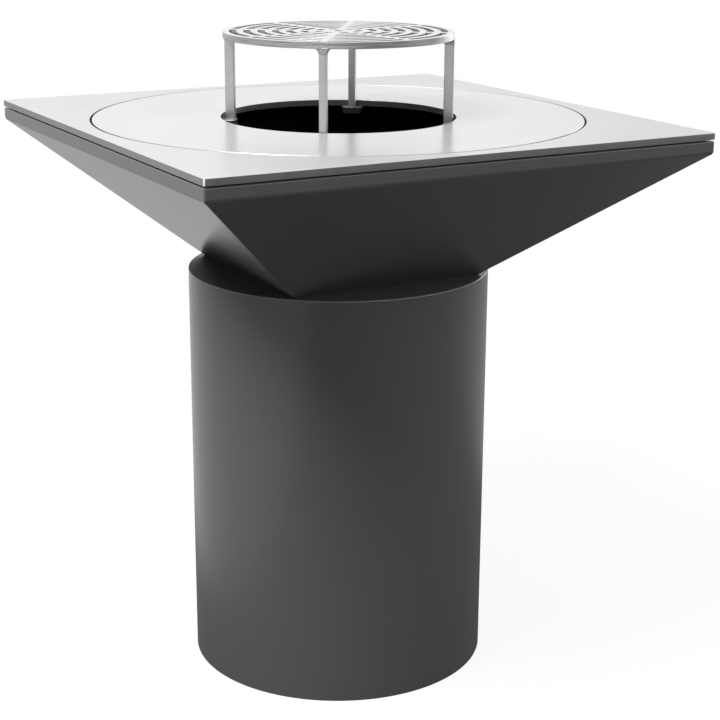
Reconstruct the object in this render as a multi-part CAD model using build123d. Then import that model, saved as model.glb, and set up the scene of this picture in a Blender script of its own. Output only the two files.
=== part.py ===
from build123d import *
import os
from math import atan2, cos, floor, sin, sqrt, tan

# Steel fire pit: round pedestal, square hopper bowl, square surround with a round hot plate, and a grill.
# Sizes are in millimetres and degrees. The origin is the middle of the base on the ground, and +Z is up.

# Pedestal
PEDESTAL_DIA = 584.0
PEDESTAL_HEIGHT = 793.0
PEDESTAL_SHEET = 3.0
TOP_PLATE_THICK = 5.0
BASE_RING_THICK = 5.0
BASE_RING_WIDTH = 47.0
WELD_FIT = 0.3

# Bowl, folded from sheet
BOWL_HEIGHT = 276.0
BOWL_SHEET = 3.0
BASE_SETBACK = 12.0
BAND_HEIGHT = 22.0
FLANGE_WIDTH = 40.0
BAND_BEND_RADIUS = 8.0
FLANGE_BEND_RADIUS = 4.0
FLOOR_THICK = 4.0
DRAIN_DIA = 20.0

# Bolts welded under the bowl, which hold it on the pedestal
BOLT_DIA = 10.0
BOLT_HOLE_CLEARANCE = 0.5
BOLT_EDGE = 48.0
BOLT_TAIL = 4.0
NUT_FLATS = 17.0
NUT_HEIGHT = 8.0
THREAD_FIT = 0.15
WASHER_SIDE = 30.0
WASHER_THICK = 3.0

# Square surround, round hot plate and the sheet that carries them
PLATE_SIDE = 1000.0
PLATE_THICK = 12.0
PLATE_OVERHANG = 0.5
CORNER_CHAMFER = 2.5
SIDE_WEB = 31.0
DISC_GAP = 4.0
FIRE_HOLE_DIA = 448.0
FRAME_THICK = 3.0
FRAME_SETBACK = 12.0
DISC_LAP = 18.0

# Tabs under the fire hole, where the grill stands
TAB_WIDTH = 41.0
TAB_MARGIN = 1.0
TAB_LAP = 40.0
TAB_THICK = 12.0
TAB_CORNER = 5.0

# Grill
GRILL_CLEARANCE = 6.0
GRILL_THICK = 12.0
GRILL_RIM = 12.0
SLOT_WIDTH = 13.5
GRILL_BAR = 13.2
HUB_RADIUS = 24.0
CENTRE_HOLE_DIA = 18.0
SPOKE_WIDTH = 12.0
SPOKE_COUNT = 8
LEG_WIDTH = 14.0
LEG_DEPTH = 18.0
LEG_LENGTH = 159.0
LEG_EDGE_BREAK = 1.0
GRILL_TURN = 9.3

# Worked out from the sizes above
PEDESTAL_BORE = PEDESTAL_DIA / 2 - PEDESTAL_SHEET
BASE_HALF = (PEDESTAL_DIA / 2 - BASE_SETBACK) / sqrt(2)
BAND_HALF = PLATE_SIDE / 2 - PLATE_OVERHANG
FLANGE_TOP = PEDESTAL_HEIGHT + BOWL_HEIGHT
BAND_BOTTOM = FLANGE_TOP - BAND_HEIGHT
SLOPE = atan2(BAND_BOTTOM - PEDESTAL_HEIGHT, BAND_HALF - BASE_HALF)
INNER_BASE_HALF = BASE_HALF - BOWL_SHEET / sin(SLOPE)
FLOOR_HALF = INNER_BASE_HALF - WELD_FIT
BOLT_AT = FLOOR_HALF - BOLT_EDGE
WASHER_BOTTOM = PEDESTAL_HEIGHT - TOP_PLATE_THICK - WASHER_THICK
NUT_BOTTOM = WASHER_BOTTOM - NUT_HEIGHT
PLATE_BOTTOM = FLANGE_TOP + FRAME_THICK
CUTOUT_RADIUS = PLATE_SIDE / 2 - SIDE_WEB
DISC_RADIUS = CUTOUT_RADIUS - DISC_GAP
FIRE_HOLE_RADIUS = FIRE_HOLE_DIA / 2
GRILL_RADIUS = FIRE_HOLE_RADIUS - GRILL_CLEARANCE
TAB_INNER = GRILL_RADIUS - LEG_DEPTH - TAB_MARGIN
TAB_OUTER = FIRE_HOLE_RADIUS + TAB_LAP
GRILL_BOTTOM = PLATE_BOTTOM + LEG_LENGTH
SIDE_NAMES = ("right", "back", "left", "front")
FULL_TURN = 360.0
QUARTER = FULL_TURN / 4
FRONT_LEG_ANGLE = -135.0 + GRILL_TURN
LEG_NAMES = ("front", "right", "back", "left")


def slab(outline, bottom, thick):
    """Flat piece cut from plate or sheet: an outline on the ground plane, lifted to its height."""
    return extrude(Pos(0, 0, bottom) * outline, amount=thick)


def at_bolts(piece):
    """One copy of a piece at each of the bowl's four bolts."""
    return [Pos(x, y, 0) * piece for x in (-BOLT_AT, BOLT_AT) for y in (-BOLT_AT, BOLT_AT)]


def bolt_hole():
    """Clearance hole round one bolt."""
    return Circle(BOLT_DIA / 2 + BOLT_HOLE_CLEARANCE)


def drain_hole():
    """Hole in the middle, where rain water leaves the bowl."""
    return Circle(DRAIN_DIA / 2)


def pedestal_shell():
    """Column rolled from sheet."""
    return slab(Circle(PEDESTAL_DIA / 2) - Circle(PEDESTAL_BORE), 0, PEDESTAL_HEIGHT)


def pedestal_top_plate():
    """Disc let into the column, flush with its upper edge."""
    outline = Circle(PEDESTAL_BORE - WELD_FIT) - at_bolts(bolt_hole()) - drain_hole()
    return slab(outline, PEDESTAL_HEIGHT - TOP_PLATE_THICK, TOP_PLATE_THICK)


def pedestal_base_ring():
    """Flat ring let into the column's foot."""
    outer = PEDESTAL_BORE - WELD_FIT
    return slab(Circle(outer) - Circle(outer - BASE_RING_WIDTH), 0, BASE_RING_THICK)


def bowl_section():
    """Folded section of one bowl panel: slope, upright band and inward flange."""
    inner_bend = BAND_BOTTOM + BOWL_SHEET / cos(SLOPE) - BOWL_SHEET * tan(SLOPE)
    lip = BAND_HALF - FLANGE_WIDTH
    inner_band = BAND_HALF - BOWL_SHEET
    outer_corners = [(BAND_HALF, BAND_BOTTOM), (BAND_HALF, FLANGE_TOP)]
    inner_corners = [(inner_band, FLANGE_TOP - BOWL_SHEET), (inner_band, inner_bend)]
    outline = Polyline(
        (BASE_HALF, PEDESTAL_HEIGHT), *outer_corners, (lip, FLANGE_TOP),
        (lip, FLANGE_TOP - BOWL_SHEET), *inner_corners, (INNER_BASE_HALF, PEDESTAL_HEIGHT),
        close=True,
    )
    section = make_face(outline)
    outer_radii = [BAND_BEND_RADIUS, FLANGE_BEND_RADIUS]
    inner_radii = [radius - BOWL_SHEET for radius in reversed(outer_radii)]
    for corner, radius in zip(outer_corners + inner_corners, outer_radii + inner_radii):
        section = fillet(section.vertices().sort_by_distance((*corner, 0))[0], radius)
    return section


def bowl_panel():
    """Bowl panel on the +X side, mitred along the bowl's diagonals."""
    bar = extrude(Plane.XZ * bowl_section(), amount=PLATE_SIDE, both=True)
    wedge = make_face(Polyline((0, 0), (PLATE_SIDE, -PLATE_SIDE), (PLATE_SIDE, PLATE_SIDE), close=True))
    return bar & slab(wedge, 0, FLANGE_TOP + PLATE_THICK)


def bowl_floor():
    """Square floor welded between the panels' lower edges."""
    outline = Rectangle(2 * FLOOR_HALF, 2 * FLOOR_HALF) - drain_hole()
    return slab(outline, PEDESTAL_HEIGHT, FLOOR_THICK)


def bowl_bolts():
    """Headless bolts welded under the bowl's floor, down through the pedestal's top plate."""
    tail = NUT_BOTTOM - BOLT_TAIL
    return Compound(at_bolts(slab(Circle(BOLT_DIA / 2), tail, PEDESTAL_HEIGHT - tail)))


def bowl_washers():
    """A square washer between each nut and the pedestal's top plate."""
    outline = Rectangle(WASHER_SIDE, WASHER_SIDE) - bolt_hole()
    return Compound(at_bolts(slab(outline, WASHER_BOTTOM, WASHER_THICK)))


def bowl_nuts():
    """Hexagon nuts that pull the bowl down on the pedestal."""
    outline = RegularPolygon(NUT_FLATS / 2, 6, major_radius=False) - Circle(BOLT_DIA / 2 + THREAD_FIT)
    return Compound(at_bolts(slab(outline, NUT_BOTTOM, NUT_HEIGHT)))


def support_frame():
    """Thin square sheet on the bowl's flange: it lifts the plates clear and makes the disc's ledge."""
    side = 2 * (BAND_HALF - FRAME_SETBACK)
    return slab(Rectangle(side, side) - Circle(DISC_RADIUS - DISC_LAP), FLANGE_TOP, FRAME_THICK)


def surround_plate():
    """Thick square plate with chamfered corners and a round cut-out."""
    square = Rectangle(PLATE_SIDE, PLATE_SIDE)
    outline = chamfer(square.vertices(), CORNER_CHAMFER) - Circle(CUTOUT_RADIUS)
    return slab(outline, PLATE_BOTTOM, PLATE_THICK)


def cooking_disc():
    """Round hot plate with the fire hole."""
    return slab(Circle(DISC_RADIUS) - Circle(FIRE_HOLE_RADIUS), PLATE_BOTTOM, PLATE_THICK)


def rest_tab():
    """Tab below the disc on the +X side, reaching into the fire hole, with chamfered inner corners."""
    blank = Pos((TAB_INNER + TAB_OUTER) / 2, 0) * Rectangle(TAB_OUTER - TAB_INNER, TAB_WIDTH)
    outline = chamfer(blank.vertices().sort_by(Axis.X)[:2], TAB_CORNER)
    return slab(outline, PLATE_BOTTOM - TAB_THICK, TAB_THICK)


def slot_ring(outer):
    """One ring of arc slots, parted by the spokes."""
    ring = Circle(outer) - Circle(outer - SLOT_WIDTH)
    spoke = Pos(outer / 2, 0) * Rectangle(outer + SLOT_WIDTH, SPOKE_WIDTH)
    return ring - [Rot(0, 0, FULL_TURN * k / SPOKE_COUNT) * spoke for k in range(SPOKE_COUNT)]


def grill_plate():
    """Round grill: concentric bars and radial spokes left standing between arc slots."""
    pitch = SLOT_WIDTH + GRILL_BAR
    first = GRILL_RADIUS - GRILL_RIM
    rings = floor((first - HUB_RADIUS + GRILL_BAR) / pitch)
    outline = Circle(GRILL_RADIUS) - Circle(CENTRE_HOLE_DIA / 2)
    for k in range(rings):
        outline -= slot_ring(first - k * pitch)
    return slab(Rot(0, 0, FRONT_LEG_ANGLE) * outline, GRILL_BOTTOM, GRILL_THICK)


def grill_leg():
    """Flat bar on the +X side, with broken edges, from a rest tab up to the grill, flush with its rim."""
    bar = Pos(GRILL_RADIUS - LEG_DEPTH / 2, 0) * Rectangle(LEG_DEPTH, LEG_WIDTH)
    return slab(chamfer(bar.vertices(), LEG_EDGE_BREAK), PLATE_BOTTOM, LEG_LENGTH)


def all_pieces():
    """Every piece by the name of its node."""
    pieces = {
        "pedestal_shell": pedestal_shell(),
        "pedestal_top_plate": pedestal_top_plate(),
        "pedestal_base_ring": pedestal_base_ring(),
        "bowl_floor": bowl_floor(),
        "bowl_bolts": bowl_bolts(),
        "bowl_washers": bowl_washers(),
        "bowl_nuts": bowl_nuts(),
        "support_frame": support_frame(),
        "surround_plate": surround_plate(),
        "cooking_disc": cooking_disc(),
        "grill_plate": grill_plate(),
    }
    panel = bowl_panel()
    for k, side in enumerate(SIDE_NAMES):
        pieces[f"bowl_panel_{side}"] = Rot(0, 0, QUARTER * k) * panel
    tab = rest_tab()
    leg = grill_leg()
    for k, side in enumerate(LEG_NAMES):
        turn = Rot(0, 0, FRONT_LEG_ANGLE + QUARTER * k)
        pieces[f"rest_tab_{side}"] = turn * tab
        pieces[f"grill_leg_{side}"] = turn * leg
    return pieces


os.makedirs("parts", exist_ok=True)
for node, shape in all_pieces().items():
    export_step(shape, f"parts/{node}.step")
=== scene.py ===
import math

import bmesh
import bpy
from mathutils import Matrix, Vector


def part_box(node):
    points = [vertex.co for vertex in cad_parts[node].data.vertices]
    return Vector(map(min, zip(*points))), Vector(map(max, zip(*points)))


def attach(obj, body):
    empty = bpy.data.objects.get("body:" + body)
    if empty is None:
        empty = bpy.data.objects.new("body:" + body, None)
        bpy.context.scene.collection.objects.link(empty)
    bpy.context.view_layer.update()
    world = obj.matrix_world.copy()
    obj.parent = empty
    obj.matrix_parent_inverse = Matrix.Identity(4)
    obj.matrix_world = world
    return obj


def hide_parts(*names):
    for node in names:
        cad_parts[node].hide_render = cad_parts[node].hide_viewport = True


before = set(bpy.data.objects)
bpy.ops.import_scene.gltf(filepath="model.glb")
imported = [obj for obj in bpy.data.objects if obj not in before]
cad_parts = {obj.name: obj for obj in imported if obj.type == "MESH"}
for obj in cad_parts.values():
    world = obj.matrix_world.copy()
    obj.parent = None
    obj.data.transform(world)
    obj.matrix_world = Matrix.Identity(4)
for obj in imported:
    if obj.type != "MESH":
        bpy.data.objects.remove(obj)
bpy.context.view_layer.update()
bpy.ops.object.select_all(action="DESELECT")

# Steel fire pit: dark pedestal and hopper bowl, satin steel surround, hot plate and grill

# Lengths are in metres, angles in degrees
MM = 0.001
SAME_PLACE = 0.01 * MM
SAME_LEVEL = 0.1 * MM
SAME_RADIUS = 0.5 * MM
SIDES = ("front", "right", "back", "left")
FULL_TURN = 360.0
QUARTER_TURN = 90.0

# Sizes read from the frame
shell_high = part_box("pedestal_shell")[1]
panel_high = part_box("bowl_panel_right")[1]
floor_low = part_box("bowl_floor")[0]
plate_low, plate_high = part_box("surround_plate")
disc_low, disc_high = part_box("cooking_disc")
tab_low, tab_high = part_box("rest_tab_front")
grill_low, grill_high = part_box("grill_plate")
leg_low, leg_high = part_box("grill_leg_front")

# How round shapes are divided and smoothed
ROUND_STEPS = 256
BEND_STEPS = 4
EDGE_STEPS = 2
CHAMFER_STEPS = 1
SHARP_ANGLE = 50.0
SMOOTH_ANGLE = 50.0
CRISP_ANGLE = 30.0
SOFT_ANGLE = 60.0
FLAT_FACE_WEIGHT = 100

# Pedestal
PEDESTAL_RADIUS = shell_high.x
PEDESTAL_TOP = shell_high.z
PEDESTAL_SHEET = 3 * MM
PEDESTAL_ROUND = 1.5 * MM
PEDESTAL_EDGE = 0.4 * MM
SEAM_WIDTH = 7 * MM
SEAM_RISE = 0.4 * MM
SEAM_CROWN = SEAM_WIDTH / 2.2
SEAM_ANGLE = 62.0

# Bowl
BOWL_SHEET = 3 * MM
BASE_SETBACK = 12 * MM
BASE_HALF = (PEDESTAL_RADIUS - BASE_SETBACK) / math.sqrt(2)
BAND_HALF = panel_high.x
BAND_HEIGHT = 22 * MM
FLANGE_WIDTH = 40 * MM
FLANGE_TOP = panel_high.z
BAND_BOTTOM = FLANGE_TOP - BAND_HEIGHT
CORNER_ROUND = 4.2 * MM
RIDGE_ROUND = 1.7 * MM
BAND_BEND = 3.7 * MM
FLANGE_BEND = 2.5 * MM
INNER_FACING = -0.1
UNDER_FACING = -0.9

# Surround and hot plate
PLATE_HALF = plate_high.x
PLATE_THICK = plate_high.z - plate_low.z
CORNER_CHAMFER = 2.5 * MM
CHAMFER_SLANT = 0.5
EDGE_BREAK = 0.8 * MM
DISC_RADIUS = disc_high.x
DISC_GAP = 4 * MM
CUTOUT_RADIUS = DISC_RADIUS + DISC_GAP
FIRE_HOLE_RADIUS = 224 * MM

# Tabs
TAB_WIDTH = 41 * MM
TAB_INNER = 199 * MM
TAB_OUTER = 264 * MM
TAB_CORNER = 5 * MM

# Grill
FRONT_LEG_ANGLE = -125.7
GRILL_RADIUS = grill_high.x
GRILL_RIM = 12 * MM
GRILL_BAR = 13.2 * MM
GRILL_EDGE = 0.3 * MM
SLOT_WIDTH = 13.5 * MM
SLOT_RINGS = 7
SLOT_FLARE = 2 * GRILL_EDGE
SPOKE_WIDTH = 12 * MM
SPOKE_COUNT = 8
SPOKE_TAPER = 3 * GRILL_EDGE
CENTRE_HOLE_RADIUS = 9 * MM

# Legs and their welds
LEG_WIDTH = 14 * MM
LEG_DEPTH = 18 * MM
LEG_EDGE = 1.5 * MM
WELD_RISE = 11 * MM
WELD_FLARE = 6.5 * MM
WELD_LIP = 0.15 * MM
WELD_CROWN = 3 * MM
WELD_CLOSE = 0.8
WELD_STEPS = 4
WELD_CUTS = 5
WELD_RIPPLE = 0.7 * MM
RIPPLE_SIZE = 4 * MM

# Camera, as it stood in the photograph
CAMERA_SIDE = -28.219
CAMERA_DISTANCE = 3157.2 * MM
CAMERA_HEIGHT = plate_high.z + 451.9 * MM
CAMERA_DOWN = 16.551
CAMERA_YAW = 0.731
CAMERA_ROLL = 0.08
CAMERA_LENS = 82.76
CAMERA_SENSOR = 36.0
CAMERA_SHIFT = 0.0008
CAMERA_REACH = 100.0

# Soft boxes, with their power in watts
LAMPS = {
    "key": dict(at=(-2.13, -0.69, 4.05), aim=(0, 0, 0.6), width=1.6, height=1.6, power=240.0),
    "fill": dict(at=(2.0, -3.2, 3.2), aim=(0, 0, 0.6), width=5.2, height=3.2, power=50.0),
    "right": dict(at=(3.2, -1.0, 2.0), aim=(0, 0, 0.6), width=5.6, height=3.0, power=40.0),
    "side": dict(at=(2.7, 0.9, 1.4), aim=(0, 0, 0.3), width=1.0, height=0.8, power=26.0),
    "top": dict(at=(0.3, 0.5, 4.2), aim=(0, 0, 1.1), width=2.4, height=2.4, power=8.0),
}

# White surroundings: what they add as light, and how they dim in the metal to one side, left and overhead
WHITE = (1, 1, 1)
AMBIENT = 0.25
BRIGHT_WORLD = (-0.881, 0.473, 0.0)
DIM_SIDE = 0.3
DIM_START = -0.45
DIM_END = -0.08
LEFT_WORLD = (-0.98, 0.2, 0.0)
LEFT_SHARE = 0.55
LEFT_START = 0.6
LEFT_END = 0.9
UPWARDS = (0.0, 0.0, 1.0)
CEILING = 0.65
CEILING_START = 0.35
CEILING_END = 0.85

# Floor: its colours, its shadow, and the places that show white in the metal
FLOOR_WHITE = (0.9, 0.9, 0.9)
FLOOR_GREY = (0.15, 0.15, 0.15)
FLOOR_REACH = 40.0
FLOOR_STEPS = 64
FLOOR_MIDDLE = (0, 0, 0)
SHADOW_SHARE = 0.10
SHADOW_NEAR = 1.2
SHADOW_FAR = 2.5
BRIGHT_FLOOR = (-0.8, 0.6, 0.0)
BRIGHT_START = 0.45
BRIGHT_END = 0.85
BACK_FLOOR = (0.7, 0.71, 0.0)
BACK_START = 0.85
BACK_END = 1.3
BACK_SHARE = 0.35
FAR_FLOOR = (0.14, 0.99, 0.0)
FAR_START = 2.5
FAR_END = 4.5

# Grain of each finish: its scale, its stretch along the axes and its detail
EVEN = (1, 1, 1)
PLATE_BRUSH = (1.0, (500, 6, 6), 3.0)
PLATE_CLOUD = (6.0, (1, 1.6, 1), 4.0)
PLATE_CUT = (1.0, (260, 260, 18), 2.0)
CHAMFER_BRUSH = (1.0, (20, 20, 900), 2.0)
TAB_CLOUD = (60.0, EVEN, 4.0)
GRILL_BRUSH = (1.0, (500, 12, 12), 3.0)
GRILL_CLOUD = (30.0, EVEN, 3.0)
GRILL_CUT = (1.0, (14, 14, 420), 3.0)
BAR_BRUSH = (1.0, (500, 500, 8), 3.0)
BAR_CLOUD = (45.0, (1, 1, 0.5), 3.0)
WELD_CLOUD = (160.0, EVEN, 3.0)
COAT_SPRAY = (420.0, EVEN, 2.0)
RIM_GRAIN = (90.0, EVEN, 3.0)
SOOT_CLOUD = (14.0, EVEN, 5.0)
SHEET_CLOUD = (20.0, (1, 4, 1), 4.0)
ZINC_SPANGLE = (300.0, EVEN, 2.0)

# Colours of each finish, the darkest and the lightest
PLATE_FACE = ((0.61, 0.61, 0.61), (0.69, 0.69, 0.69))
PLATE_SIDE = ((0.15, 0.15, 0.15), (0.22, 0.22, 0.22))
DISC_FACE = ((0.63, 0.63, 0.63), (0.71, 0.71, 0.71))
# Disc sides, in the fire hole and the groove: far darker than the surround's cut edges, painted shade
DISC_SIDE_SHADE = ((0.06, 0.06, 0.06), (0.09, 0.09, 0.09))
# Corner chamfers of the surround: near white, a painted highlight
CHAMFER_HIGHLIGHT_COLOURS = ((0.88, 0.88, 0.87), (0.95, 0.95, 0.94))
# Tabs: plain steel on top, upright sides near black as painted shade
TAB_TOP_COLOURS = ((0.38, 0.38, 0.37), (0.54, 0.54, 0.53))
TAB_SIDE_SHADE = ((0.04, 0.04, 0.04), (0.08, 0.08, 0.08))
GRILL_FACE = ((0.76, 0.76, 0.75), (0.88, 0.88, 0.87))
GRILL_SIDE = ((0.19, 0.19, 0.19), (0.40, 0.40, 0.39))
BAR_COLOURS = ((0.36, 0.36, 0.36), (0.48, 0.48, 0.47))
BAR_GLANCE = (0.55, 0.55, 0.55)
WELD_COLOURS = ((0.24, 0.24, 0.24), (0.36, 0.36, 0.35))
COAT_COLOURS = ((0.088, 0.088, 0.086), (0.118, 0.118, 0.115))
# Rounded top edge of the column: lighter than the coat, rubbed and painted as a highlight
RIM_WEAR_AND_HIGHLIGHT_COLOURS = ((0.20, 0.20, 0.20), (0.34, 0.34, 0.33))
SOOT_COLOURS = ((0.010, 0.010, 0.010), (0.022, 0.021, 0.020))
SHEET_COLOURS = ((0.16, 0.16, 0.16), (0.26, 0.26, 0.25))
ZINC_COLOURS = ((0.48, 0.49, 0.50), (0.62, 0.63, 0.64))

# Skin of each finish: from its smoothest to its roughest, its share of bare metal, and its relief
BARE_METAL = 1.0
PLATE_ROUGH = (0.32, 0.37)
PLATE_SIDE_ROUGH = (0.38, 0.50)
PLATE_METAL = (0.4, 0.8)
PLATE_RELIEF = (0.02 * MM, 0.05)
DISC_ROUGH = (0.22, 0.26)
CHAMFER_ROUGH = (0.45, 0.55)
CHAMFER_METAL = 0.4
TAB_ROUGH = (0.35, 0.5)
GRILL_ROUGH = (0.26, 0.34)
GRILL_SIDE_ROUGH = (0.34, 0.48)
GRILL_METAL = (0.7, 1.0)
GRILL_RELIEF = (0.03 * MM, 0.1)
BAR_ROUGH = (0.34, 0.46)
BAR_RELIEF = (0.03 * MM, 0.15)
WELD_ROUGH = (0.35, 0.5)
COAT_ROUGH = (0.26, 0.34)
COAT_IOR = 1.38
RIM_ROUGH = (0.30, 0.42)
SOOT_ROUGH = (0.7, 0.9)
SHEET_ROUGH = (0.4, 0.6)
ZINC_ROUGH = (0.3, 0.45)

# Ranges that values are stretched from: whole, where most noise lies, and from upright to level faces
WHOLE = (0.0, 1.0)
NOISE = (0.3, 0.7)
LEVELLING = (0.25, 0.6)


# Modelling tools

def choose(*pieces):
    """Selects just these pieces, with the first one active."""
    bpy.ops.object.select_all(action="DESELECT")
    for piece in pieces:
        piece.select_set(True)
    bpy.context.view_layer.objects.active = pieces[0]


def edit(piece):
    """Goes into edit mode on one piece, with everything selected."""
    choose(piece)
    bpy.ops.object.mode_set(mode="EDIT")
    bpy.ops.mesh.select_all(action="SELECT")


def leave_edit():
    """Goes back to object mode."""
    bpy.ops.object.mode_set(mode="OBJECT")


def named(name):
    """The piece that was just added, under its name."""
    piece = bpy.context.active_object
    piece.name = name
    piece.data.name = name
    return piece


def place(piece):
    """Puts a piece's place into its mesh, so that its object sits at the origin."""
    choose(piece)
    bpy.ops.object.transform_apply(location=True, rotation=True, scale=True)
    return piece


def pick(piece, domain, test):
    """Selects, in edit mode, just the vertices, edges or faces whose middle passes a test."""
    bpy.ops.mesh.select_mode(type={"verts": "VERT", "edges": "EDGE", "faces": "FACE"}[domain])
    bpy.ops.mesh.select_all(action="DESELECT")
    mesh = bmesh.from_edit_mesh(piece.data)
    for element in getattr(mesh, domain):
        corners = [element] if domain == "verts" else element.verts
        middle = sum((corner.co for corner in corners), Vector()) / len(corners)
        if test(middle):
            element.select_set(True)
    mesh.select_flush_mode()
    bmesh.update_edit_mesh(piece.data)


def extrude(along, across, up):
    """Draws what is selected out by a shift, in edit mode."""
    bpy.ops.mesh.extrude_region_move(TRANSFORM_OT_translate={"value": (along, across, up)})


def spread_level(along, across, middle=0.0):
    """Widens what is selected in the level plane, about a point on the X axis, in edit mode."""
    bpy.ops.transform.resize(value=(along, across, 1.0), center_override=(middle, 0, 0))


def round_edges(width, steps):
    """Rounds the selected edges, in edit mode."""
    bpy.ops.mesh.bevel(offset=width, offset_type="OFFSET", segments=steps, affect="EDGES")


def break_edges(width):
    """Rounds every sharp edge of the piece in edit mode."""
    bpy.ops.mesh.select_mode(type="EDGE")
    bpy.ops.mesh.select_all(action="DESELECT")
    bpy.ops.mesh.edges_select_sharp(sharpness=math.radians(SHARP_ANGLE))
    round_edges(width, EDGE_STEPS)


def tidy_normals():
    """Merges doubled vertices and turns every face outwards, in edit mode."""
    bpy.ops.mesh.select_all(action="SELECT")
    bpy.ops.mesh.remove_doubles(threshold=SAME_PLACE)
    bpy.ops.mesh.normals_make_consistent(inside=False)


def modify(piece, kind, **settings):
    """Adds a modifier to a piece and applies it."""
    choose(piece)
    modifier = piece.modifiers.new(kind.lower(), kind)
    for setting, value in settings.items():
        setattr(modifier, setting, value)
    bpy.ops.object.modifier_apply(modifier=modifier.name)


def smooth(piece, angle=SMOOTH_ANGLE):
    """Smooth shading that keeps broad flat faces flat, with edges crisp above an angle."""
    choose(piece)
    bpy.ops.object.shade_smooth_by_angle(angle=math.radians(angle))
    modify(piece, "WEIGHTED_NORMAL", weight=FLAT_FACE_WEIGHT, keep_sharp=True)


def turn_about(piece, angle):
    """Turns a piece's mesh about the upright axis through the origin."""
    piece.data.transform(Matrix.Rotation(math.radians(angle), 4, "Z"))


def turned_copy(piece, name, angle):
    """A turned copy of a piece, with its own mesh."""
    copy = piece.copy()
    copy.data = piece.data.copy()
    copy.name = name
    copy.data.name = name
    turn_about(copy, angle)
    bpy.context.scene.collection.objects.link(copy)
    return copy


def join(pieces, name):
    """Several pieces as one."""
    choose(*pieces)
    bpy.ops.object.join()
    return named(name)


def remove(piece):
    """Deletes a helper piece."""
    bpy.data.objects.remove(piece)


# Flat pieces

def ring_plate(name, outer, inner, bottom, thick):
    """A flat ring: two circles bridged, then extruded upwards."""
    bpy.ops.mesh.primitive_circle_add(vertices=ROUND_STEPS, radius=inner, location=(0, 0, bottom))
    piece = place(named(name))
    edit(piece)
    bpy.ops.mesh.primitive_circle_add(vertices=ROUND_STEPS, radius=outer, location=(0, 0, bottom))
    bpy.ops.mesh.select_all(action="SELECT")
    bpy.ops.mesh.bridge_edge_loops()
    bpy.ops.mesh.select_all(action="SELECT")
    extrude(0, 0, thick)
    tidy_normals()
    leave_edit()
    return piece


def bar(name, low, high, upright_round=0.0, edge=0.0):
    """A straight bar between two corners, with rounded upright edges and broken ends."""
    middle = (Vector(low) + Vector(high)) / 2
    size = Vector(high) - Vector(low)
    bpy.ops.mesh.primitive_cube_add(size=1.0, location=middle)
    piece = named(name)
    piece.scale = size
    place(piece)
    edit(piece)
    if upright_round:
        pick(piece, "edges", lambda at: abs(at.z - middle.z) < edge + MM)
        round_edges(upright_round, EDGE_STEPS + 1)
    if edge:
        pick(piece, "faces", lambda at: abs(abs(at.z - middle.z) - size.z / 2) < SAME_PLACE)
        bpy.ops.mesh.region_to_loop()
        round_edges(edge, EDGE_STEPS)
    leave_edit()
    return piece


# Pedestal

def pedestal_skin():
    """Column rolled from sheet: an open tube with its wall inwards and a lighter upper edge, rubbed and
    painted as a highlight.
    """
    bpy.ops.mesh.primitive_cylinder_add(
        vertices=ROUND_STEPS, radius=PEDESTAL_RADIUS, depth=PEDESTAL_TOP,
        end_fill_type="NOTHING", location=(0, 0, PEDESTAL_TOP / 2))
    piece = place(named("pedestal_skin"))
    modify(piece, "SOLIDIFY", thickness=PEDESTAL_SHEET, offset=-1.0)
    edit(piece)
    middle = PEDESTAL_RADIUS - PEDESTAL_SHEET / 2
    pick(piece, "edges", lambda at: at.z > PEDESTAL_TOP - MM and at.xy.length > middle + SAME_RADIUS)
    round_edges(PEDESTAL_ROUND, BEND_STEPS)
    break_edges(PEDESTAL_EDGE)
    leave_edit()
    smooth(piece)
    # The rounded upper edge takes the second finish: lighter than the coat, rubbed and painted as a highlight
    for polygon in piece.data.polygons:
        if polygon.center.z > PEDESTAL_TOP - PEDESTAL_ROUND and polygon.center.xy.length > middle:
            polygon.material_index = 1
    return piece


def pedestal_seam():
    """Ground weld seam up the back of the column."""
    inner = PEDESTAL_RADIUS - MM
    outer = PEDESTAL_RADIUS + SEAM_RISE
    low = (inner, -SEAM_WIDTH / 2, MM)
    high = (outer, SEAM_WIDTH / 2, PEDESTAL_TOP - MM)
    piece = bar("pedestal_seam", low, high)
    edit(piece)
    pick(piece, "edges", lambda at: at.x > inner + MM and abs(at.z - PEDESTAL_TOP / 2) < MM)
    bpy.ops.mesh.bevel(offset=SEAM_CROWN, offset_type="WIDTH", segments=BEND_STEPS, affect="EDGES")
    leave_edit()
    turn_about(piece, SEAM_ANGLE)
    smooth(piece, SOFT_ANGLE)
    return piece


# Bowl

def bowl_edge_weight(edge):
    """How much an edge of the bowl's bare folded shape is rounded, as a share of the band's corners."""
    a, b = edge.verts
    rise = abs(a.co.z - b.co.z)
    if rise > BAND_HEIGHT + MM:
        return RIDGE_ROUND / CORNER_ROUND
    if rise > MM:
        return 1.0
    level = (a.co.z + b.co.z) / 2
    reach = max(abs(a.co.x + b.co.x), abs(a.co.y + b.co.y)) / 2
    if abs(level - BAND_BOTTOM) < MM:
        return BAND_BEND / CORNER_ROUND
    if abs(level - FLANGE_TOP) < MM and abs(reach - BAND_HALF) < MM:
        return FLANGE_BEND / CORNER_ROUND
    return 0.0


def widen(reach, current, level):
    """Extrudes the open upper edge of the bowl to a new half width and level, in edit mode."""
    extrude(0, 0, level)
    spread_level(reach / current, reach / current)


def weigh_bowl_edges(piece):
    """Notes on each edge of the bowl how much it is rounded, in edit mode."""
    mesh = bmesh.from_edit_mesh(piece.data)
    weight = mesh.edges.layers.float.new("bevel_weight_edge")
    for edge in mesh.edges:
        edge[weight] = bowl_edge_weight(edge)
    bmesh.update_edit_mesh(piece.data)


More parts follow.
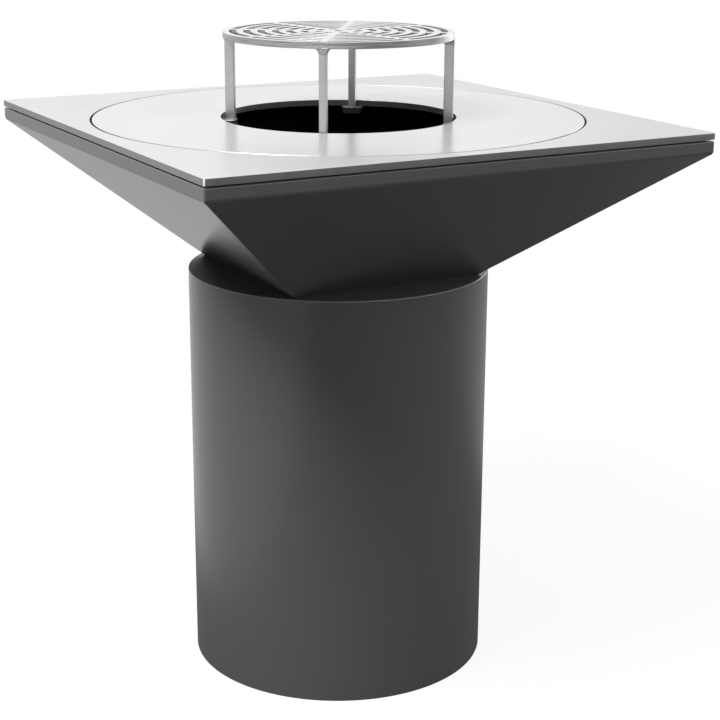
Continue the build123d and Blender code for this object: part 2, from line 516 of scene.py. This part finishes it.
def bowl_skin():
    """Hopper bowl: a square drawn up into slopes, upright band and inward flange, then given its sheet."""
    bpy.ops.mesh.primitive_plane_add(size=2 * BASE_HALF, location=(0, 0, floor_low.z))
    piece = place(named("bowl_skin"))
    edit(piece)
    bpy.ops.mesh.delete(type="ONLY_FACE")
    bpy.ops.mesh.select_mode(type="EDGE")
    bpy.ops.mesh.select_all(action="SELECT")
    widen(BAND_HALF, BASE_HALF, BAND_BOTTOM - floor_low.z)
    widen(BAND_HALF, BAND_HALF, BAND_HEIGHT)
    widen(BAND_HALF - FLANGE_WIDTH, BAND_HALF, 0.0)
    tidy_normals()
    weigh_bowl_edges(piece)
    leave_edit()
    modify(piece, "BEVEL", limit_method="WEIGHT", width=CORNER_ROUND, segments=BEND_STEPS)
    slopes = [polygon for polygon in piece.data.polygons if polygon.center.z < BAND_BOTTOM - MM]
    inwards = -1.0 if sum(polygon.normal.z for polygon in slopes) < 0 else 1.0
    modify(piece, "SOLIDIFY", thickness=BOWL_SHEET, offset=inwards, use_even_offset=True)
    smooth(piece, CRISP_ANGLE)
    for polygon in piece.data.polygons:
        facing = polygon.normal.xy.dot(polygon.center.xy.normalized())
        if facing < INNER_FACING or polygon.normal.z < UNDER_FACING:
            polygon.material_index = 1
    return piece


# Surround and hot plate

def surround_skin():
    """Square plate with a round cut-out: square and circle bridged, extruded, with chamfered corners."""
    bottom = plate_low.z
    bpy.ops.mesh.primitive_circle_add(vertices=ROUND_STEPS, radius=CUTOUT_RADIUS, location=(0, 0, bottom))
    piece = place(named("surround_skin"))
    edit(piece)
    bpy.ops.mesh.primitive_plane_add(size=2 * PLATE_HALF, location=(0, 0, bottom))
    bpy.ops.mesh.delete(type="ONLY_FACE")
    pick(piece, "edges", lambda at: max(abs(at.x), abs(at.y)) > PLATE_HALF - MM)
    bpy.ops.mesh.subdivide(number_cuts=ROUND_STEPS // 4 - 1)
    bpy.ops.mesh.select_all(action="SELECT")
    bpy.ops.mesh.bridge_edge_loops()
    bpy.ops.mesh.select_all(action="SELECT")
    extrude(0, 0, PLATE_THICK)
    tidy_normals()
    corner = PLATE_HALF - MM
    low, high = bottom + MM, bottom + PLATE_THICK - MM
    pick(piece, "edges", lambda at: min(abs(at.x), abs(at.y)) > corner and low < at.z < high)
    round_edges(CORNER_CHAMFER, CHAMFER_STEPS)
    break_edges(EDGE_BREAK)
    leave_edit()
    smooth(piece)
    # The upright corner chamfers take the second finish, a near-white painted highlight
    for polygon in piece.data.polygons:
        slant = min(abs(polygon.normal.x), abs(polygon.normal.y))
        if slant > CHAMFER_SLANT and polygon.center.xy.length > CUTOUT_RADIUS + MM:
            polygon.material_index = 1
    return piece


def disc_skin():
    """Round hot plate with the fire hole and broken edges."""
    piece = ring_plate("disc_skin", DISC_RADIUS, FIRE_HOLE_RADIUS, disc_low.z, PLATE_THICK)
    edit(piece)
    break_edges(EDGE_BREAK)
    leave_edit()
    smooth(piece)
    return piece


def tab_blank():
    """Tab below the disc on the +X side, cut off at its inner corners."""
    low = (TAB_INNER, -TAB_WIDTH / 2, tab_low.z)
    high = (TAB_OUTER, TAB_WIDTH / 2, tab_high.z)
    piece = bar("tab_blank", low, high)
    edit(piece)
    pick(piece, "edges", lambda at: at.x < TAB_INNER + MM and abs(at.y) > TAB_WIDTH / 2 - MM)
    round_edges(TAB_CORNER, CHAMFER_STEPS)
    break_edges(GRILL_EDGE)
    leave_edit()
    smooth(piece)
    return piece


# Grill

def flare(piece, radius, growth, level):
    """Draws a circle of vertices at a level outwards or inwards, in edit mode."""
    pick(piece, "verts",
         lambda at: abs(at.xy.length - radius) < SAME_RADIUS and abs(at.z - level) < SAME_LEVEL)
    share = (radius + growth) / radius
    spread_level(share, share)


def flared_ring(name, outer, inner, bottom, top):
    """A ring that widens above and below the grill, so that what it cuts gets chamfered edges."""
    piece = ring_plate(name, outer, inner, bottom + GRILL_EDGE, top - bottom - 2 * GRILL_EDGE)
    edit(piece)
    for level, rise in ((bottom + GRILL_EDGE, -1), (top - GRILL_EDGE, 1)):
        pick(piece, "faces", lambda at: abs(at.z - level) < SAME_LEVEL)
        extrude(0, 0, SLOT_FLARE * rise)
        flare(piece, outer, SLOT_FLARE, level + SLOT_FLARE * rise)
        flare(piece, inner, -SLOT_FLARE, level + SLOT_FLARE * rise)
    leave_edit()
    return piece


def tapered_spoke(name, bottom, top):
    """A straight bar across the whole grill that narrows above and below it."""
    reach = 2 * GRILL_RADIUS
    low = (-reach, -SPOKE_WIDTH / 2, bottom + GRILL_EDGE)
    high = (reach, SPOKE_WIDTH / 2, top - GRILL_EDGE)
    piece = bar(name, low, high)
    edit(piece)
    for level, rise in ((low[2], -1), (high[2], 1)):
        pick(piece, "faces", lambda at: abs(at.z - level) < SAME_LEVEL)
        extrude(0, 0, SPOKE_TAPER * rise)
        spread_level(1.0, 1.0 - 2 * SPOKE_TAPER / SPOKE_WIDTH)
    leave_edit()
    return piece


def slot_cutter():
    """All the arc slots of the grill: flared rings, parted by the spokes."""
    bottom, top = grill_low.z, grill_high.z
    rings = []
    for k in range(SLOT_RINGS):
        outer = GRILL_RADIUS - GRILL_RIM - k * (SLOT_WIDTH + GRILL_BAR)
        rings.append(flared_ring(f"slot_{k}", outer, outer - SLOT_WIDTH, bottom, top))
    cutter = join(rings, "slot_cutter")
    for k in range(SPOKE_COUNT // 2):
        spoke = tapered_spoke(f"spoke_{k}", bottom, top)
        turn_about(spoke, FULL_TURN * k / SPOKE_COUNT)
        modify(cutter, "BOOLEAN", operation="DIFFERENCE", object=spoke, solver="EXACT")
        remove(spoke)
    return cutter


def grill_skin():
    """Round grill: a disc with broken rims and its chamfered arc slots cut out."""
    thick = grill_high.z - grill_low.z
    piece = ring_plate("grill_skin", GRILL_RADIUS, CENTRE_HOLE_RADIUS, grill_low.z, thick)
    edit(piece)
    break_edges(GRILL_EDGE)
    leave_edit()
    cutter = slot_cutter()
    modify(piece, "BOOLEAN", operation="DIFFERENCE", object=cutter, solver="EXACT")
    remove(cutter)
    turn_about(piece, FRONT_LEG_ANGLE)
    smooth(piece, CRISP_ANGLE)
    return piece


def leg_blank():
    """Flat-bar leg on the +X side, with rounded edges."""
    low = (GRILL_RADIUS - LEG_DEPTH, -LEG_WIDTH / 2, leg_low.z)
    high = (GRILL_RADIUS, LEG_WIDTH / 2, leg_high.z)
    piece = bar("leg_blank", low, high, upright_round=LEG_EDGE, edge=GRILL_EDGE)
    smooth(piece)
    return piece


def ripple(piece, depth, grain_size):
    """Roughens a piece's skin with soft bumps."""
    bumps = bpy.data.textures.new("bumps", "CLOUDS")
    bumps.noise_scale = grain_size
    modify(piece, "DISPLACE", texture=bumps, strength=depth, texture_coords="LOCAL")


def weld_start(middle):
    """Lower face of a weld: the leg's own outline, divided, with its border selected in edit mode."""
    bpy.ops.mesh.primitive_plane_add(size=1.0, location=(middle, 0, grill_low.z - WELD_RISE))
    piece = named("leg_weld")
    piece.scale = (LEG_DEPTH, LEG_WIDTH, 1.0)
    place(piece)
    edit(piece)
    bpy.ops.mesh.bevel(offset=LEG_EDGE, segments=EDGE_STEPS, affect="VERTICES")
    bpy.ops.mesh.select_all(action="SELECT")
    bpy.ops.mesh.subdivide(number_cuts=WELD_CUTS)
    bpy.ops.mesh.select_mode(type="EDGE")
    bpy.ops.mesh.region_to_loop()
    return piece


def leg_weld():
    """Fillet weld round the top of the +X leg: a collar that flares out under the grill."""
    depth, width = LEG_DEPTH, LEG_WIDTH
    middle = GRILL_RADIUS - LEG_DEPTH / 2
    piece = weld_start(middle)
    lip = WELD_LIP / WELD_STEPS
    for k in range(1, WELD_STEPS + 1):
        growth = WELD_FLARE * (k / WELD_STEPS) ** 2 - WELD_FLARE * ((k - 1) / WELD_STEPS) ** 2
        extrude((lip - growth) / 2, 0, WELD_RISE / WELD_STEPS)
        middle += (lip - growth) / 2
        spread_level((depth + growth + lip) / depth, (width + 2 * growth) / width, middle)
        depth, width = depth + growth + lip, width + 2 * growth
    extrude(0, 0, WELD_CROWN / 2)
    extrude(0, 0, WELD_CROWN / 2)
    spread_level(WELD_CLOSE, WELD_CLOSE, middle)
    bpy.ops.mesh.edge_face_add()
    tidy_normals()
    leave_edit()
    modify(piece, "SUBSURF", levels=1, render_levels=1, subdivision_type="SIMPLE")
    ripple(piece, WELD_RIPPLE, RIPPLE_SIZE)
    smooth(piece, SOFT_ANGLE)
    return piece


# Camera and light

def camera_frame():
    """Directions of the camera: forward, to the right and upwards."""
    side = math.radians(CAMERA_SIDE)
    down = math.radians(CAMERA_DOWN)
    yaw = math.radians(CAMERA_YAW)
    ahead = Vector((-math.sin(side) * math.cos(down), math.cos(side) * math.cos(down), -math.sin(down)))
    right = Vector((math.cos(side), math.sin(side), 0))
    forward = ahead * math.cos(yaw) + right * math.sin(yaw)
    level = right * math.cos(yaw) - ahead * math.sin(yaw)
    up = level.cross(forward)
    roll = math.radians(CAMERA_ROLL)
    right = level * math.cos(roll) + up * math.sin(roll)
    return forward, right, right.cross(forward)


def add_camera():
    """Camera at the photograph's place, angle and lens."""
    side = math.radians(CAMERA_SIDE)
    forward, right, up = camera_frame()
    place_matrix = Matrix((right, up, -forward)).transposed().to_4x4()
    place_matrix.translation = (
        math.sin(side) * CAMERA_DISTANCE, -math.cos(side) * CAMERA_DISTANCE, CAMERA_HEIGHT)
    data = bpy.data.cameras.new("camera")
    data.lens = CAMERA_LENS
    data.sensor_width = CAMERA_SENSOR
    data.shift_x = CAMERA_SHIFT
    data.clip_end = CAMERA_REACH
    camera = bpy.data.objects.new("camera", data)
    camera.matrix_world = place_matrix
    bpy.context.scene.collection.objects.link(camera)
    bpy.context.scene.camera = camera


def soft_light(name, at, aim, width, height, power):
    """Rectangular soft box that faces a point."""
    data = bpy.data.lights.new(name, "AREA")
    data.shape = "RECTANGLE"
    data.size = width
    data.size_y = height
    data.energy = power
    light = bpy.data.objects.new(name, data)
    direction = Vector(aim) - Vector(at)
    light.matrix_world = Matrix.Translation(at) @ direction.to_track_quat("-Z", "Y").to_matrix().to_4x4()
    bpy.context.scene.collection.objects.link(light)


# Node tools

def add_node(tree, kind, **settings):
    """A node with its settings."""
    node = tree.nodes.new(kind)
    for setting, value in settings.items():
        setattr(node, setting, value)
    return node


def combine(tree, operation, a, b):
    """Two values, worked into one."""
    node = add_node(tree, "ShaderNodeMath", operation=operation)
    tree.links.new(a, node.inputs[0])
    tree.links.new(b, node.inputs[1])
    return node.outputs[0]


def spread(tree, value, low, high, start=NOISE[0], end=NOISE[1], **settings):
    """A value stretched over a new range."""
    node = add_node(tree, "ShaderNodeMapRange", **settings)
    for socket, limit in (("From Min", start), ("From Max", end), ("To Min", low), ("To Max", high)):
        node.inputs[socket].default_value = limit
    tree.links.new(value, node.inputs["Value"])
    return node.outputs["Result"]


def shade(tree, value, dark, light):
    """A colour between two, by a value."""
    node = add_node(tree, "ShaderNodeMix", data_type="RGBA")
    node.inputs["A"].default_value = (*dark, 1)
    node.inputs["B"].default_value = (*light, 1)
    tree.links.new(value, node.inputs["Factor"])
    return node.outputs["Result"]


def blend(tree, value, a, b, kind):
    """Two colours or two values mixed by a third; the first may be a plain number."""
    node = add_node(tree, "ShaderNodeMix", data_type=kind)
    tree.links.new(value, node.inputs["Factor"])
    if isinstance(a, float):
        node.inputs["A"].default_value = a
    else:
        tree.links.new(a, node.inputs["A"])
    tree.links.new(b, node.inputs["B"])
    return node.outputs["Result"]


# Stage

def seen_in_mirror(tree):
    """One where a ray comes from a mirror or through glass, and nought elsewhere."""
    path = add_node(tree, "ShaderNodeLightPath")
    return combine(tree, "MAXIMUM", path.outputs["Is Glossy Ray"], path.outputs["Is Transmission Ray"])


def seen_by_camera(tree):
    """One where a ray comes straight from the camera, and nought elsewhere."""
    return add_node(tree, "ShaderNodeLightPath").outputs["Is Camera Ray"]


def ramp(tree, measure, point, start, end, low, high):
    """A smooth rise with the distance from a point, or with the reach along a direction."""
    coordinates = add_node(tree, "ShaderNodeTexCoord")
    kind = "Generated" if tree.id_data.name == "white_room" else "Object"
    reach = add_node(tree, "ShaderNodeVectorMath", operation=measure)
    reach.inputs[1].default_value = point
    tree.links.new(coordinates.outputs[kind], reach.inputs[0])
    return spread(tree, reach.outputs["Value"], low, high, start, end, interpolation_type="SMOOTHSTEP")


def white_world():
    """White surroundings: a dim light, and in the metal bright with a dimmer side, left and ceiling."""
    world = bpy.data.worlds.new("white_room")
    world.use_nodes = True
    bpy.context.scene.world = world
    tree = world.node_tree
    side = ramp(tree, "DOT_PRODUCT", BRIGHT_WORLD, DIM_START, DIM_END, DIM_SIDE, 1.0)
    left = ramp(tree, "DOT_PRODUCT", LEFT_WORLD, LEFT_START, LEFT_END, 1.0, LEFT_SHARE)
    ceiling = ramp(tree, "DOT_PRODUCT", UPWARDS, CEILING_START, CEILING_END, 1.0, CEILING)
    bright = combine(tree, "MULTIPLY", combine(tree, "MULTIPLY", side, left), ceiling)
    mirrored = blend(tree, seen_in_mirror(tree), AMBIENT, bright, "FLOAT")
    background = tree.nodes["Background"]
    background.inputs["Color"].default_value = (*WHITE, 1)
    tree.links.new(combine(tree, "MAXIMUM", mirrored, seen_by_camera(tree)), background.inputs["Strength"])


def white_share(tree):
    """How white the floor shows: to the camera all but a faint shadow, and in the metal its bright places."""
    clear = ramp(tree, "DISTANCE", FLOOR_MIDDLE, SHADOW_NEAR, SHADOW_FAR, 1.0 - SHADOW_SHARE, 1.0)
    bright = ramp(tree, "DOT_PRODUCT", BRIGHT_FLOOR, BRIGHT_START, BRIGHT_END, 0.0, 1.0)
    back = ramp(tree, "DOT_PRODUCT", BACK_FLOOR, BACK_START, BACK_END, 0.0, BACK_SHARE)
    far = ramp(tree, "DOT_PRODUCT", FAR_FLOOR, FAR_START, FAR_END, 0.0, 1.0)
    bright = combine(tree, "MAXIMUM", bright, combine(tree, "MAXIMUM", back, far))
    return combine(tree, "ADD", combine(tree, "MULTIPLY", clear, seen_by_camera(tree)),
                   combine(tree, "MULTIPLY", bright, seen_in_mirror(tree)))


def pale_floor():
    """Pale floor that goes over into the white surroundings and keeps a faint shadow."""
    bpy.ops.mesh.primitive_circle_add(
        vertices=FLOOR_STEPS, radius=FLOOR_REACH, fill_type="NGON", location=FLOOR_MIDDLE)
    floor = named("floor")
    material = bpy.data.materials.new("pale_floor")
    material.use_nodes = True
    tree = material.node_tree
    tree.nodes.remove(tree.nodes["Principled BSDF"])
    matt = add_node(tree, "ShaderNodeBsdfDiffuse")
    tree.links.new(shade(tree, seen_by_camera(tree), FLOOR_GREY, FLOOR_WHITE), matt.inputs["Color"])
    glow = add_node(tree, "ShaderNodeEmission")
    mix = add_node(tree, "ShaderNodeMixShader")
    tree.links.new(white_share(tree), mix.inputs["Fac"])
    tree.links.new(matt.outputs[0], mix.inputs[1])
    tree.links.new(glow.outputs[0], mix.inputs[2])
    tree.links.new(mix.outputs[0], tree.nodes["Material Output"].inputs["Surface"])
    floor.data.materials.append(material)


# Finishes

def new_finish(name):
    """A material, its node tree and its surface shader."""
    material = bpy.data.materials.new(name)
    material.use_nodes = True
    return material, material.node_tree, material.node_tree.nodes["Principled BSDF"]


def grain(tree, scale, stretch, detail):
    """Noise on the piece's own coordinates, stretched along an axis."""
    coordinates = add_node(tree, "ShaderNodeTexCoord")
    mapping = add_node(tree, "ShaderNodeMapping")
    mapping.inputs["Scale"].default_value = stretch
    noise = add_node(tree, "ShaderNodeTexNoise")
    noise.inputs["Scale"].default_value = scale
    noise.inputs["Detail"].default_value = detail
    tree.links.new(coordinates.outputs["Object"], mapping.inputs["Vector"])
    tree.links.new(mapping.outputs["Vector"], noise.inputs["Vector"])
    return noise.outputs["Fac"]


def relief(tree, shader, height, depth, strength):
    """Fine bumps on a surface."""
    bump = add_node(tree, "ShaderNodeBump")
    bump.inputs["Strength"].default_value = strength
    bump.inputs["Distance"].default_value = depth
    tree.links.new(height, bump.inputs["Height"])
    tree.links.new(bump.outputs["Normal"], shader.inputs["Normal"])


def level_faces(tree):
    """One on level faces, nought on upright ones."""
    coordinates = add_node(tree, "ShaderNodeTexCoord")
    parts = add_node(tree, "ShaderNodeSeparateXYZ")
    size = add_node(tree, "ShaderNodeMath", operation="ABSOLUTE")
    tree.links.new(coordinates.outputs["Normal"], parts.inputs["Vector"])
    tree.links.new(parts.outputs["Z"], size.inputs[0])
    return spread(tree, size.outputs[0], *WHOLE, *LEVELLING)


def ground_plate(name, face_colours, face_rough, edge_colours):
    """Satin ground steel plate with duller flame-cut edges, told apart by face direction; a dark edge colour
    paints shade on them, as on the disc.
    """
    material, tree, shader = new_finish(name)
    brush = grain(tree, *PLATE_BRUSH)
    face = shade(tree, grain(tree, *PLATE_CLOUD), *face_colours)
    cut = grain(tree, *PLATE_CUT)
    edge = shade(tree, cut, *edge_colours)
    level = level_faces(tree)
    tree.links.new(spread(tree, level, *PLATE_METAL, *WHOLE), shader.inputs["Metallic"])
    tree.links.new(blend(tree, level, edge, face, "RGBA"), shader.inputs["Base Color"])
    side_rough = spread(tree, cut, *PLATE_SIDE_ROUGH)
    rough = blend(tree, level, side_rough, spread(tree, brush, *face_rough), "FLOAT")
    tree.links.new(rough, shader.inputs["Roughness"])
    relief(tree, shader, brush, *PLATE_RELIEF)
    return material


def tab_with_painted_side_shade(name):
    """Steel in the fire hole: plain steel on top, its upright sides painted near black as shade."""
    material, tree, shader = new_finish(name)
    shader.inputs["Metallic"].default_value = BARE_METAL
    cloud = grain(tree, *TAB_CLOUD)
    top_colour = shade(tree, cloud, *TAB_TOP_COLOURS)
    shaded_side = shade(tree, cloud, *TAB_SIDE_SHADE)
    tree.links.new(blend(tree, level_faces(tree), shaded_side, top_colour, "RGBA"), shader.inputs["Base Color"])
    tree.links.new(spread(tree, cloud, *TAB_ROUGH), shader.inputs["Roughness"])
    return material


def ground_grill(name):
    """Grill steel: ground top, duller cut edges and slot walls."""
    material, tree, shader = new_finish(name)
    brush = grain(tree, *GRILL_BRUSH)
    face = shade(tree, grain(tree, *GRILL_CLOUD), *GRILL_FACE)
    cut = grain(tree, *GRILL_CUT)
    edge = shade(tree, spread(tree, cut, *WHOLE), *GRILL_SIDE)
    level = level_faces(tree)
    tree.links.new(spread(tree, level, *GRILL_METAL, *WHOLE), shader.inputs["Metallic"])
    tree.links.new(blend(tree, level, edge, face, "RGBA"), shader.inputs["Base Color"])
    side_rough = spread(tree, cut, *GRILL_SIDE_ROUGH)
    rough = blend(tree, level, side_rough, spread(tree, brush, *GRILL_ROUGH), "FLOAT")
    tree.links.new(rough, shader.inputs["Roughness"])
    relief(tree, shader, brush, *GRILL_RELIEF)
    return material


def ground_bar(name):
    """Flat bar steel, ground by hand, with brush lines along the bars."""
    material, tree, shader = new_finish(name)
    shader.inputs["Metallic"].default_value = BARE_METAL
    shader.inputs["Specular Tint"].default_value = (*BAR_GLANCE, 1)
    brush = grain(tree, *BAR_BRUSH)
    cloud = grain(tree, *BAR_CLOUD)
    tree.links.new(shade(tree, cloud, *BAR_COLOURS), shader.inputs["Base Color"])
    tree.links.new(spread(tree, brush, *BAR_ROUGH), shader.inputs["Roughness"])
    relief(tree, shader, brush, *BAR_RELIEF)
    return material


def dark_coat(name):
    """Satin anthracite coating with a fine sprayed texture."""
    material, tree, shader = new_finish(name)
    shader.inputs["IOR"].default_value = COAT_IOR
    spray = grain(tree, *COAT_SPRAY)
    tree.links.new(shade(tree, spray, *COAT_COLOURS), shader.inputs["Base Color"])
    tree.links.new(spread(tree, spray, *COAT_ROUGH, *WHOLE), shader.inputs["Roughness"])
    return material


def mottled(name, texture, colours, rough, metal=0.0, glance=WHITE):
    """A finish whose colour and roughness vary together: chamfers painted as a highlight, welds, a coating
    rim rubbed and painted as a highlight, soot, sheet, zinc.
    """
    material, tree, shader = new_finish(name)
    shader.inputs["Metallic"].default_value = metal
    shader.inputs["Specular Tint"].default_value = (*glance, 1)
    cloud = grain(tree, *texture)
    tree.links.new(shade(tree, cloud, *colours), shader.inputs["Base Color"])
    tree.links.new(spread(tree, cloud, *rough), shader.inputs["Roughness"])
    return material


# The object, piece by piece

def dress(piece, body, slot, *finishes):
    """Gives a piece its finishes and its body; its slot argument is not used."""
    for finish in finishes:
        piece.data.materials.append(finish)
    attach(piece, body)
    return piece


def dress_node(node, finish):
    """Gives a carried-over node its finish."""
    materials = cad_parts[node].data.materials
    materials.clear()
    materials.append(finish)


plate_finish = ground_plate("ground_plate", PLATE_FACE, PLATE_ROUGH, PLATE_SIDE)
disc_finish = ground_plate("ground_disc", DISC_FACE, DISC_ROUGH, DISC_SIDE_SHADE)
tab_finish = tab_with_painted_side_shade("tab_with_painted_side_shade")
chamfer_highlight_finish = mottled("painted_highlight_chamfer", CHAMFER_BRUSH, CHAMFER_HIGHLIGHT_COLOURS, CHAMFER_ROUGH, CHAMFER_METAL)
grill_finish = ground_grill("ground_grill")
bar_finish = ground_bar("ground_bar")
weld_finish = mottled("weld_metal", WELD_CLOUD, WELD_COLOURS, WELD_ROUGH, BARE_METAL, BAR_GLANCE)
coat_finish = dark_coat("dark_coat")
rim_wear_and_highlight_finish = mottled("rubbed_coat_and_painted_highlight", RIM_GRAIN, RIM_WEAR_AND_HIGHLIGHT_COLOURS, RIM_ROUGH)
soot_finish = mottled("sooty_steel", SOOT_CLOUD, SOOT_COLOURS, SOOT_ROUGH)
sheet_finish = mottled("mill_sheet", SHEET_CLOUD, SHEET_COLOURS, SHEET_ROUGH, BARE_METAL)
zinc_finish = mottled("zinc_plate", ZINC_SPANGLE, ZINC_COLOURS, ZINC_ROUGH, BARE_METAL)

column = dress(pedestal_skin(), "stand", "dark_coating", coat_finish, rim_wear_and_highlight_finish)
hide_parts("pedestal_shell")
dress(pedestal_seam(), "stand", "dark_coating", coat_finish)
bowl = dress(bowl_skin(), "stand", "dark_coating", coat_finish, soot_finish)
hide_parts(*[f"bowl_panel_{side}" for side in ("front", "right", "back", "left")])
surround = dress(surround_skin(), "surround", "satin_steel", plate_finish, chamfer_highlight_finish)
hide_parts("surround_plate")
disc = dress(disc_skin(), "hot_plate", "satin_steel", disc_finish)
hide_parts("cooking_disc")
grill = dress(grill_skin(), "grill", "satin_steel", grill_finish)
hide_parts("grill_plate")

tab_pattern = tab_blank()
leg_pattern = leg_blank()
weld_pattern = leg_weld()
for k, side in enumerate(SIDES):
    angle = FRONT_LEG_ANGLE + QUARTER_TURN * k
    tab = dress(turned_copy(tab_pattern, f"tab_{side}", angle), "hot_plate", "satin_steel", tab_finish)
    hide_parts(f"rest_tab_{side}")
    leg = dress(turned_copy(leg_pattern, f"leg_{side}", angle), "grill", "satin_steel", bar_finish)
    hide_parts(f"grill_leg_{side}")
    dress(turned_copy(weld_pattern, f"leg_weld_{side}", angle), "grill", "satin_steel", weld_finish)
for pattern in (tab_pattern, leg_pattern, weld_pattern):
    remove(pattern)

for node in ("pedestal_top_plate", "pedestal_base_ring"):
    dress_node(node, coat_finish)
dress_node("bowl_floor", soot_finish)
dress_node("support_frame", sheet_finish)
for node in ("bowl_bolts", "bowl_washers", "bowl_nuts"):
    dress_node(node, zinc_finish)

white_world()
pale_floor()
for name, lamp in LAMPS.items():
    soft_light(name, **lamp)
add_camera()
bpy.context.scene.view_settings.view_transform = "Standard"
